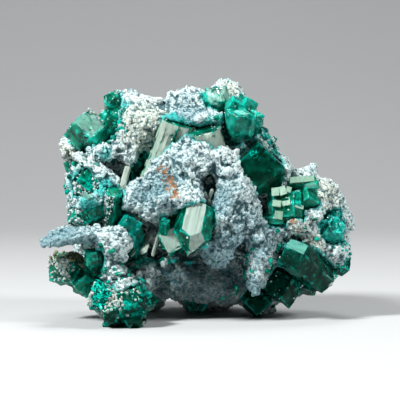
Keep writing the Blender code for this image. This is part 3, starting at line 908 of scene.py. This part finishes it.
@dataclass
class Cluster:
    """One cluster of crystals, with worn edges, low growth steps, faces that are frosted and carry painted
    reflections, and spots of painted glow.
    """

    node: str
    finish: CrystalFinish = field(default_factory=CrystalFinish)
    sheens: tuple[Sheen, ...] = ()
    # Spots of painted glow of light inside the crystals.
    painted_glows: tuple[Spot, ...] = ()
    chips: float = 0.55
    steps: float = 0.12
    knobs: float = 0.0
    longest: float = 0.6

    def shaped(self, flat: Skin) -> tuple[Skin, np.ndarray]:
        """The cluster's faces with chipped edges and low terraces.

        Args:
            flat: The solid's surface.

        Returns:
            The new surface, and each point's distance to the nearest edge.
        """
        edges = sharp_edges(flat, FACET_ANGLE)
        mesh = bpy.data.meshes.new("edges")
        mesh.from_pydata(flat.points, edges, [])
        wires = bpy.data.objects.new("edges", mesh)
        bpy.context.scene.collection.objects.link(wires)
        fine = refined(flat, self.longest * MM)
        probe = new_object(fine, "probe")
        gap = distances(probe, wires, Nearest.EDGES)
        remove(probe)
        remove(wires)
        p = fine.points
        worn = patches(p, 1.9, 21, 0.45, 0.9) * (1.0 - smooth_step(gap, 0.0, 1.3 * MM))
        bites = patches(p, 4.5, 27, 0.62, 0.80) * (1.0 - smooth_step(gap, 0.3 * MM, 2.6 * MM))
        level = soft_noise(p, 3.2 * MM, 23) * 5.0
        terrace = (np.floor(level) + smooth_step(level - np.floor(level), 0.75, 1.0)) / 5.0
        knobs = (0.55 - pebbles(p, 3.0 * MM, 31)) + 0.45 * (0.55 - pebbles(p, 1.4 * MM, 35))
        sink = self.chips * (worn + 1.3 * bites + 0.12 * (1.0 - smooth_step(gap, 0.0, 0.35 * MM)))
        sink += self.steps * terrace + self.knobs * knobs
        points = p - fine.normals() * (sink * MM)[:, None]
        points[:, 2] = np.where(p[:, 2] < 1e-6, p[:, 2], np.maximum(points[:, 2], 0.0))
        return Skin(points, fine.faces), gap

    def frost_and_glare(self, fine: Skin) -> np.ndarray:
        """How frosted each triangle is and how much painted reflection it carries: by its direction and its
        place, for each sheen.
        """
        facing = unit(fine.face_crosses())
        centres = fine.face_centres()
        total = np.zeros(len(fine.faces))
        for sheen in self.sheens:
            along = facing @ unit(np.array(sheen.facing, float))
            inside = Spot(sheen.centre, sheen.radius).weight(centres)
            share = smooth_step(along, 1.0 - sheen.spread, 1.0 - sheen.spread / 3.0)
            total = np.maximum(total, sheen.strength * share * smooth_step(inside, 0.25, 0.5))
        return total

    def build(self) -> bpy.types.Object:
        """Makes the cluster's piece, which stands for its CAD node."""
        fine, gap = self.shaped(node_skin(self.node))
        obj = new_object(fine, self.node + "_faces")
        paint(obj, "edge_gap", gap)
        # Painted glow inside the crystals, in soft spots.
        paint(obj, "glow", strongest(self.painted_glows, fine.points) if self.painted_glows else 0.0)
        # Frosting and painted reflection for each face.
        paint(obj, "frost", self.frost_and_glare(fine), "FACE")
        obj.data.shade_smooth()
        obj.data.set_sharp_from_angle(angle=SHARP_ANGLE)
        obj.data.materials.append(self.finish.material())
        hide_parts(self.node)
        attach(obj, "root")
        return obj


@dataclass
class SmallCrystals:
    """A coat of small crystals that grow out of the crust around some places."""

    name: str
    count: int
    radius: tuple
    stretch: tuple
    zones: tuple[Spot, ...]
    lean: float = 0.55
    sink: float = 0.45
    # Strength of the painted glow, which each small crystal takes at random up to this.
    glow: float = 0.8
    lowest: float = 1.5
    finish: CrystalFinish = field(default_factory=CrystalFinish)

    def build(self, crust: Skin, open_faces: np.ndarray, rng: np.random.Generator) -> bpy.types.Object:
        """Makes the coat.

        Args:
            crust: The surface that the crystals stand on.
            open_faces: For each of its triangles, 1 where it is clear of sockets and 0 elsewhere.
            rng: Where the random numbers come from.

        Returns:
            The finished piece.
        """
        centres = crust.face_centres()
        chance = strongest(self.zones, centres) * open_faces * (centres[:, 2] > self.lowest * MM)
        places, normals, _ = crust.scatter(self.count, rng, chance + 1e-12)
        axes = unit(normals + rng.normal(scale=self.lean, size=normals.shape))
        radius = rng.uniform(*self.radius, self.count) * MM
        length = radius * rng.uniform(*self.stretch, self.count)
        frames = turned_frames(axes, rng)
        scale = np.stack([radius, radius, radius], axis=1)[:, :, None]
        tips = places + axes * (length * (1.0 - self.sink))[:, None]
        skin = placed(crystal_template(), np.zeros((self.count, 3)), frames * scale)
        low = np.tile(np.arange(CRYSTAL_POINTS) < PRISM_SIDES, self.count)
        skin.points[low] -= np.repeat(axes * length[:, None], PRISM_SIDES, axis=0)
        skin.points += np.repeat(tips, CRYSTAL_POINTS, axis=0)
        keep_above_floor(skin.points)
        obj = new_object(skin, self.name)
        tint = rng.random(self.count)
        # Random painted rim highlights, painted glow, and pale faces with painted reflection.
        paint(obj, "edge_gap", np.repeat(tint * 1.2 * MM, CRYSTAL_POINTS))
        paint(obj, "glow", np.repeat(rng.random(self.count) * self.glow, CRYSTAL_POINTS))
        paint(obj, "frost", np.repeat((tint > 0.8) * 0.5, CRYSTAL_POINTS))
        obj.data.shade_flat()
        obj.data.materials.append(self.finish.material())
        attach(obj, "root")
        return obj


@dataclass(frozen=True)
class Blade:
    """One thin crystal: its tip and its root in mm, its half width and half thickness, and its broad side."""

    tip: Place
    root: Place
    wide: float
    thick: float
    facing: Place = (0.0, -1.0, 0.0)
    pointed: bool = True

    def skin(self) -> Skin:
        """Its surface: a template, flattened across its broad side and drawn out to its root."""
        tip, root = metres(self.tip), metres(self.root)
        axis = unit(tip - root)
        across = unit(np.cross(axis, np.array(self.facing, float)))
        out = np.cross(across, axis)
        wide, thick = self.wide * MM, self.thick * MM
        template = crystal_template() if self.pointed else plate_template()
        skin = placed(template, np.zeros((1, 3)), np.stack([across * wide, out * thick, axis * wide])[None])
        skin.points[: PRISM_SIDES if self.pointed else PLATE_SIDES] += axis * wide + (root - tip)
        skin.points += tip
        return skin


@dataclass
class Blades:
    """Thin pale crystals and cleavage flakes that stand in the cavities and on the broken faces."""

    name: str
    rows: tuple[Blade, ...]
    finish: CrystalFinish = field(default_factory=CrystalFinish)
    # Share of the pale frosted look with painted reflection.
    frost: float = 0.8

    def build(self) -> bpy.types.Object:
        """Makes the piece from all its blades."""
        skin = joined([row.skin() for row in self.rows])
        obj = new_object(skin, self.name)
        paint(obj, "edge_gap", 0.6 * MM)
        # No painted glow, and the pale frosted look with painted reflection.
        paint(obj, "glow", 0.0)
        paint(obj, "frost", self.frost)
        obj.data.shade_flat()
        obj.data.materials.append(self.finish.material())
        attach(obj, "root")
        return obj


@dataclass
class Crumbs:
    """Small round grains that sit on a surface in drifts."""

    name: str
    count: int
    radius: tuple
    finish: CrustFinish | CrystalFinish
    slot: str
    zones: tuple[Spot, ...] = ()
    drift: float = 0.0

    def chances(self, host: Skin) -> np.ndarray:
        """Each triangle's chance: by its zone, and in drifts where a soft noise is high."""
        centres = host.face_centres()
        chance = strongest(self.zones, centres) if self.zones else np.ones(len(centres))
        if self.drift:
            chance = chance * patches(centres, self.drift, 41, 0.5, 0.8)
        return chance + 1e-9

    def build(self, host: Skin, open_faces: np.ndarray, rng: np.random.Generator) -> bpy.types.Object:
        """Makes the grains.

        Args:
            host: The surface that they sit on.
            open_faces: For each of its triangles, 1 where grains may sit and 0 elsewhere.
            rng: Where the random numbers come from.

        Returns:
            The finished piece.
        """
        places, normals, _ = host.scatter(self.count, rng, self.chances(host) * open_faces)
        radius = (self.radius[0] + (self.radius[1] - self.radius[0]) * rng.random(self.count) ** 2) * MM
        frames = turned_frames(unit(rng.normal(size=(self.count, 3))), rng)
        squash = rng.uniform(0.55, 1.2, (self.count, 3, 1))
        skin = placed(grain_template(), places, frames * squash * radius[:, None, None])
        keep_above_floor(skin.points)
        obj = new_object(skin, self.name)
        paint(obj, "crystal_gap", 1.0)
        paint(obj, "edge_gap", 1.0)
        # Half-strength painted glow for the grains that take a crystal finish.
        paint(obj, "glow", 0.5)
        obj.data.shade_smooth()
        obj.data.materials.append(self.finish.material())
        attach(obj, "root")
        return obj


@dataclass(frozen=True)
class Lamp:
    """A square soft light: where it stands in metres, its side and its power."""

    name: str
    place: Place
    side: float
    power: float


@dataclass(frozen=True)
class Studio:
    """The pale floor, the soft lights, and the camera at the photograph's angle."""

    target: Place = (-0.0002, 0.002, 0.0324)
    distance: float = 0.53
    elevation: float = 3.0
    lens: float = 171.0
    floor_half: float = 1.6
    floor_back: float = 0.35
    bend: float = 0.5
    bend_steps: int = 25
    floor_grey: Colour = (0.44, 0.45, 0.455)
    world: float = 0.05
    lamps: tuple[Lamp, ...] = (
        Lamp("key_light", (-0.36, -0.30, 0.48), 0.13, 7.8),
        Lamp("right_light", (0.46, -0.16, 0.36), 0.16, 2.8),
        Lamp("top_light", (0.05, 0.20, 0.60), 0.25, 1.6),
    )

    def camera(self) -> None:
        """Adds the camera."""
        scene = bpy.context.scene
        data = bpy.data.cameras.new("camera")
        data.lens = self.lens
        obj = bpy.data.objects.new("camera", data)
        rise = math.radians(self.elevation)
        back = Vector((0.0, -math.cos(rise), math.sin(rise)))
        obj.location = Vector(self.target) + back * self.distance
        obj.rotation_euler = (-back).to_track_quat("-Z", "Y").to_euler()
        scene.collection.objects.link(obj)
        scene.camera = obj

    def lights(self) -> None:
        """Adds the lights and the dim even surroundings."""
        scene = bpy.context.scene
        for lamp in self.lamps:
            data = bpy.data.lights.new(lamp.name, "AREA")
            data.size, data.energy = lamp.side, lamp.power
            obj = bpy.data.objects.new(lamp.name, data)
            obj.location = lamp.place
            obj.rotation_euler = (Vector(self.target) - obj.location).to_track_quat("-Z", "Y").to_euler()
            scene.collection.objects.link(obj)
        world = bpy.data.worlds.new("surroundings")
        world.use_nodes = True
        world.node_tree.nodes["Background"].inputs["Strength"].default_value = self.world
        world.node_tree.nodes["Background"].inputs["Color"].default_value = (1.0, 1.0, 1.0, 1.0)
        scene.world = world
        scene.view_settings.view_transform = "Standard"

    def floor(self) -> bpy.types.Object:
        """Adds the floor: level under the specimen, and rising in a quarter circle behind it.

        The profile runs back along the floor, round the bend and straight up, and is drawn out sideways.
        """
        turn = np.linspace(0.0, math.pi / 2.0, self.bend_steps)
        bend = np.column_stack([self.floor_back + self.bend * np.sin(turn), self.bend * (1.0 - np.cos(turn))])
        top = (self.floor_back + self.bend, self.bend + self.floor_half)
        profile = np.concatenate([[(-self.floor_half, 0.0)], bend, [top]])
        rows = len(profile)
        points = np.zeros((2, rows, 3))
        points[0, :, 0], points[1, :, 0] = -self.floor_half, self.floor_half
        points[:, :, 1:] = profile
        k = np.arange(rows - 1)
        over = k + rows
        faces = np.concatenate([np.stack([k, over, over + 1], 1), np.stack([k, over + 1, k + 1], 1)])
        obj = new_object(Skin(points.reshape(-1, 3), faces), "floor")
        obj.data.shade_smooth()
        s = Shading("pale_floor")
        tone = s.mix(s.noise(0.2), self.floor_grey, tuple(c * 1.04 for c in self.floor_grey))
        obj.data.materials.append(s.finish(s.principled({"Base Color": tone, "Roughness": 0.75})))
        return obj


CRUST = Crust(
    teal=spots(
        (10.4, -9, 58.3, 3.8), (4, -6, 60.5, 3.4, 0.7), (-8.2, -12, 55, 2.4),
        (-6.6, -14.7, 55.4, 2.2), (-4, -14.4, 54.2, 2.4), (-0.5, -14.6, 53.8, 2.4),
        (3, -14.4, 54.2, 2.4), (6.4, -13.4, 54.8, 2.4), (-21.8, -8, 52, 3), (-19, -6, 58, 2.6),
        (-25, -13, 45.6, 2.4), (-22.6, -9, 50.5, 2.4), (-22.2, -8, 55, 2.4), (-31.5, -13, 38, 4.4),
        (-25, -15, 36.5, 3.6), (-29, -15, 32, 3.4), (-18.5, -14, 25.5, 4.2), (-26, -15, 24, 3, 0.8),
        (36.8, -8, 24.8, 4), (-27, -24, 8, 4.5), (-14, -14, 17, 4, 0.8), (-14, -13.3, 17, 1.8),
        (-11.3, -11.8, 16.8, 1.8), (-8.6, -11.2, 16.6, 1.8), (-5.8, -11.2, 16.8, 1.8),
        (-1.7, -11.4, 16.2, 1.6),
    ),
    cream=spots(
        (-14.5, -9, 53, 9), (-28.3, -3, 57.7, 3.5), (-35.2, -4, 45.8, 3.5), (15, -16, 38, 2.2),
        (35, -5, 34, 6.5, 0.9), (28, -13, 27, 4, 0.9), (32, -11, 21, 4.5, 0.9), (35.5, -7, 10.8, 3),
        (-35, -20, 17, 3.5, 0.8), (-28, -24, 9.8, 2.2), (7.2, 0, 3, 5, 0.8), (-14.5, -15, 40.2, 2),
        (22.5, -8, 40.6, 2.4, 0.7), (9, 0, 62.5, 4, 0.8),
    ),
    rust=spots(
        (-8.8, -19.4, 41.4, 3), (-7.6, -20, 39, 3.2), (-7, -21.6, 36.8, 3.6),
        (-5.4, -23.2, 34.9, 3), (26.2, -16, 27.4, 2.6), (27.6, -15.4, 24.4, 2), (39, -4, 14, 2.2),
    ),
    # Painted shade under overhangs and on the recessed lower crust.
    dusk=spots(
        (-3, -12, 9, 12, 1.4), (8, -8, 8, 10, 1.4), (-17, -18, 12.5, 6.5, 0.9),
        (12, -10, 17, 3.5, 0.9), (11, -18, 27, 6, 0.5), (3, 15, 4, 12, 0.6), (-33, -20, 17, 4, 0.6),
        (13, -14, 10, 4, 0.6),
    ),
    # Painted shade: darker slate-grey patches away from the lit top.
    slate=spots(
        (7, -16, 33, 7.5, 0.8), (13, -14, 23, 9, 0.7), (4, -18, 18, 7), (-9, -17, 35, 7),
        (-4, -18, 44, 4.5, 0.4), (-36, -22, 20, 8, 1.3), (-28, -22, 20, 4, 0.8),
        (-22, -12, 32, 6, 0.6), (-4, -12, 56, 7, 0.6), (-12, -12, 46, 4, 0.5),
        (-16, -10, 53, 6, 0.5), (15, -16, 9, 6, 0.7),
    ),
)

STRIATED = CrystalFinish("striated", lines=(0.1, -0.05, 1.0), line_depth=0.0003, frost=(0.42, 0.52, 0.44))
FRONT = CrystalFinish("front", lines=(-0.2, -0.33, -0.92), line_depth=0.0002, frost=(0.40, 0.52, 0.46))
TURQUOISE = CrystalFinish(
    "turquoise",
    deep=(0.0, 0.09, 0.07),
    body=(0.0, 0.36, 0.29),
    painted_glow_colour=(0.05, 0.82, 0.72),
    clear=0.25,
    density=150.0,
)
DARK = CrystalFinish(
    "dark_green",
    deep=(0.0, 0.010, 0.006),
    body=(0.0, 0.060, 0.036),
    clear=0.25,
    density=420.0,
    gleam=0.06,
    painted_glints=0.7,
    painted_rim_lights=0.45,
    sheen_tint=(0.2, 0.6, 0.45),
)
RHOMB = replace(
    DARK, name="rhomb_green", deep=(0.0, 0.014, 0.008), body=(0.0, 0.055, 0.030), painted_glints=0.15, painted_rim_lights=0.2
)
PRISM = replace(
    DARK,
    name="dark_prism",
    body=(0.0, 0.055, 0.034),
    frost=(0.12, 0.46, 0.37),
    lines=(0.6, -0.2, -0.7),
    painted_glints=0.3,
    painted_rim_lights=0.3,
)
SEA = CrystalFinish(
    "sea_green",
    deep=(0.0, 0.13, 0.09),
    body=(0.02, 0.38, 0.29),
    frost=(0.40, 0.68, 0.58),
    clear=0.3,
    density=90.0,
)
STEPPED = CrystalFinish(
    "stepped_green",
    deep=(0.0, 0.055, 0.028),
    body=(0.0, 0.20, 0.115),
    clear=0.25,
    painted_glints=0.25,
    painted_rim_lights=0.5,
)

# Sheens mark faces that are frosted and carry a painted reflection; glows are spots of painted light inside
# the crystals.
CLUSTERS = (
    Cluster(
        "upper_left_cluster",
        sheens=(
            Sheen((-0.15, -0.8, 0.6), (-33, -13, 53), 9.0, 0.5, 0.4),
            Sheen((-1, -0.5, 0), (-25, -5, 60), 6.0, 0.5),
        ),
        painted_glows=spots((-19, -4, 57, 3.5), (-34, -13, 50.5, 3, 0.7), (-29, -13, 49.4, 3.5, 0.9)),
        chips=0.9,
        knobs=0.55,
    ),
    Cluster("left_edge_cluster", painted_glows=spots((-30, -16, 30, 6, 0.9), (-28, -14, 38, 4, 0.8))),
    Cluster("left_broken_crystal", TURQUOISE, chips=0.8, knobs=0.5),
    Cluster(
        "lower_left_cluster",
        painted_glows=spots((-32, -18, 12, 4, 0.6), (-28, -22, 18, 3, 0.6)),
        chips=0.9,
        knobs=0.3,
    ),
    Cluster("foot_cluster", DARK, chips=0.9, knobs=1.0, painted_glows=spots((-27, -29, 9, 6, 1.1))),
    Cluster(
        "top_cluster",
        SEA,
        sheens=(Sheen((0.3, -1.0, 0.2), (6, -9, 62), 5.0, 0.7, 0.5),),
        painted_glows=spots((10.4, -13, 59.5, 3.4, 0.9), (15.5, -8, 57, 5, 0.8)),
        chips=0.8,
        knobs=0.4,
    ),
    Cluster("gap_prism", DARK),
    Cluster(
        "striated_prisms",
        STRIATED,
        sheens=(
            Sheen((-0.3, -1.0, 0.1), (-4, -14, 48), 16.0, 0.9, 0.5),
            Sheen((0.7, -0.7, 0.3), (5, -12, 50), 8.0, 0.8, 0.5),
        ),
        steps=0.05,
    ),
    Cluster(
        "right_rhomb",
        RHOMB,
        painted_glows=spots((15.6, -16, 45.8, 1.5, 0.95), (14, -14, 36, 2.5, 0.4)),
        chips=0.15,
        steps=0.05,
    ),
    Cluster(
        "right_step_cluster",
        STEPPED,
        sheens=(Sheen((0, -1, 0.2), (30, -13, 37.5), 3.0, 0.5, 0.3),),
        painted_glows=spots((21, -14, 28, 2.5, 0.6), (27, -13, 37.5, 2.5, 0.6)),
        chips=0.3,
    ),
    Cluster(
        "front_prism",
        FRONT,
        sheens=(
            Sheen((0.0, -0.91, 0.41), (0, -24, 27), 12.0, 1.0, 0.07),
            Sheen((0.2, -0.9, -0.4), (0, -25, 23), 6.0, 0.9, 0.1),
            Sheen((-0.1, -1.0, 0.1), (-8.5, -20, 23), 4.0, 0.8, 0.08),
        ),
        chips=0.25,
        steps=0.05,
    ),
    Cluster("far_right_cluster", TURQUOISE, chips=0.9, steps=0.3, knobs=1.0),
    Cluster(
        "lower_right_cluster",
        PRISM,
        sheens=(
            Sheen((0.2, -0.5, 0.8), (25.5, -18.5, 21.0), 6.0, 0.95, 0.15),
            Sheen((-0.6, -0.6, -0.5), (25, -16, 11.5), 4.0, 0.4, 0.4),
        ),
        painted_glows=spots((24.5, -18.8, 20.6, 4.5, 0.6), (41, -3, 13, 4, 0.7), (34, -8, 8, 3, 0.5)),
        chips=0.25,
    ),
    Cluster("base_plates", TURQUOISE),
    Cluster("back_left_cluster"),
    Cluster("back_top_cluster"),
    Cluster("back_right_cluster"),
    Cluster("back_low_cluster"),
)

CRYSTAL_COATS = (
    SmallCrystals(
        "front_small_crystals",
        170,
        (0.35, 0.8),
        (2.0, 3.6),
        spots(
            (-33, -10, 36, 6), (-24, -22, 8, 8), (33, -8, 28, 6, 0.6), (13, -8, 58, 6),
            (-24, -10, 50, 4, 0.6), (22, -10, 12, 9, 0.7), (-14, -14, 20, 5, 0.8),
        ),
    ),
    SmallCrystals(
        "back_small_crystals",
        320,
        (0.6, 1.5),
        (2.0, 3.4),
        spots((-24, 18, 40, 12), (0, 24, 30, 14), (22, 18, 22, 12), (2, 20, 50, 8), (-18, 18, 16, 9)),
    ),
)

PALE_BLADES = Blades(
    "pale_blades",
    (
        Blade((4.4, -18.8, 36.4), (2.2, -13.5, 29.5), 0.5, 0.3),
        Blade((2.3, -18.8, 35.6), (4.4, -13.5, 29.0), 0.4, 0.3),
        Blade((3.5, -18.4, 33.6), (3.2, -13.0, 28.0), 0.6, 0.3),
        Blade((-14.6, -18.5, 18.6), (-12.6, -9.0, 24.0), 1.2, 0.4, (-0.3, -1.0, -0.3)),
        Blade((-17.4, -19.0, 18.2), (-15.6, -11.0, 21.5), 0.8, 0.3, (-0.3, -1.0, -0.3)),
        Blade((-11.8, -20.5, 18.4), (-10.2, -14.0, 24.0), 0.55, 0.3, (0.4, -1.0, -0.2)),
        Blade((-20.2, -15.0, 36.2), (-18.6, -11.0, 42.0), 0.9, 0.5),
    ),
    CrystalFinish("pale_blade", frost=(0.50, 0.58, 0.50), lines=(0.2, 0.3, 1.0)),
)
SLANT = (-0.2, -0.9, 0.5)
PALE_FLAKES = Blades(
    "pale_flakes",
    (
        Blade((20.4, -14.75, 35.3), (22.4, -15.0, 35.5), 1.2, 0.2, SLANT, False),
        Blade((22.5, -14.75, 35.4), (24.3, -14.8, 36.0), 1.3, 0.2, SLANT, False),
        Blade((24.4, -14.8, 36.2), (25.7, -15.0, 35.8), 0.8, 0.2, SLANT, False),
        Blade((20.6, -15.6, 32.4), (23.0, -15.8, 32.1), 0.9, 0.2, SLANT, False),
        Blade((23.3, -16.1, 32.2), (25.4, -16.4, 32.6), 0.7, 0.2, SLANT, False),
        Blade((26.6, -15.9, 31.8), (29.0, -15.6, 31.1), 0.5, 0.2, SLANT, False),
        Blade((21.2, -15.6, 29.3), (23.4, -15.9, 29.0), 1.1, 0.2, (-0.1, -1.0, 0.0), False),
        Blade((25.4, -13.2, 38.4), (32.0, -12.2, 38.9), 0.8, 0.5, (0.0, -1.0, 0.3), False),
    ),
    CrystalFinish("pale_flake", frost=(0.30, 0.50, 0.37)),
)

GREEN_BEADS = Crumbs(
    "green_beads",
    700,
    (0.3, 0.8),
    TURQUOISE,
    "dioptase",
    spots(
        (18, -4, 55, 5), (20.5, -4, 48, 3.5), (10.4, -10, 59, 3), (38.5, -6, 20, 4),
        (-20.5, -8, 54, 3, 0.7), (-26, -26, 8, 4.5), (0, 22, 24, 12, 0.3),
    ),
)
GRAIN_COATS = (
    Crumbs("white_crumbs", 520, (0.10, 0.36), CrustFinish("crumb_white"), "crust", drift=5.0),
    Crumbs(
        "left_lace",
        900,
        (0.12, 0.42),
        CrustFinish("lace_white"),
        "crust",
        spots((-30.5, -14, 37.5, 4.2), (-33, -14, 30, 3), (-26, -15, 31, 3)),
        2.4,
    ),
    Crumbs(
        "cream_knobs",
        700,
        (0.15, 0.55),
        CrustFinish("knob_cream", pale=(0.60, 0.64, 0.56)),
        "crust",
        spots(
            (-28.6, -6, 56.6, 1.6), (-28.6, -30, 9, 1.8), (-21.4, -31, 7.5, 1.8),
            (-17, -29, 9, 1.2, 0.7), (-37, -15, 15, 2, 0.5),
        ),
    ),
    Crumbs(
        "olive_knobs",
        60,
        (0.4, 0.9),
        CrustFinish("knob_olive", pale=(0.26, 0.27, 0.14), shade=(0.09, 0.12, 0.06)),
        "crust",
        spots((-33.4, -11, 18.2, 2.4)),
    ),
)


def all_crystals() -> bpy.types.Object:
    """A helper object with every crystal of the CAD model."""
    return new_object(joined([node_skin(cluster.node) for cluster in CLUSTERS]), "all_crystals")


def report(obj: bpy.types.Object) -> None:
    """Logs a piece and its number of triangles."""
    log.info("%s: %d triangles", obj.name, len(skin_of(obj).faces))


def main() -> None:
    """Builds the studio and every piece, in order."""
    logging.basicConfig(level=logging.INFO)
    rng = np.random.default_rng(SEED + 1)
    studio = Studio()
    studio.camera()
    studio.lights()
    studio.floor()
    helper = all_crystals()
    crust = CRUST.build(helper)
    report(crust)
    for cluster in CLUSTERS:
        report(cluster.build())
    gap = distances(crust, helper, Nearest.FACES)
    surface = skin_of(crust)
    open_faces = (gap[surface.faces].min(axis=1) > OPEN_GAP).astype(float)
    for coat in CRYSTAL_COATS:
        report(coat.build(surface, open_faces, rng))
    report(PALE_BLADES.build())
    report(PALE_FLAKES.build())
    report(GREEN_BEADS.build(surface, open_faces, rng))
    whole = skin_of(helper)
    for crumbs in GRAIN_COATS:
        report(crumbs.build(whole, np.ones(len(whole.faces)), rng))
    remove(helper)


if __name__ == "__main__":
    main()
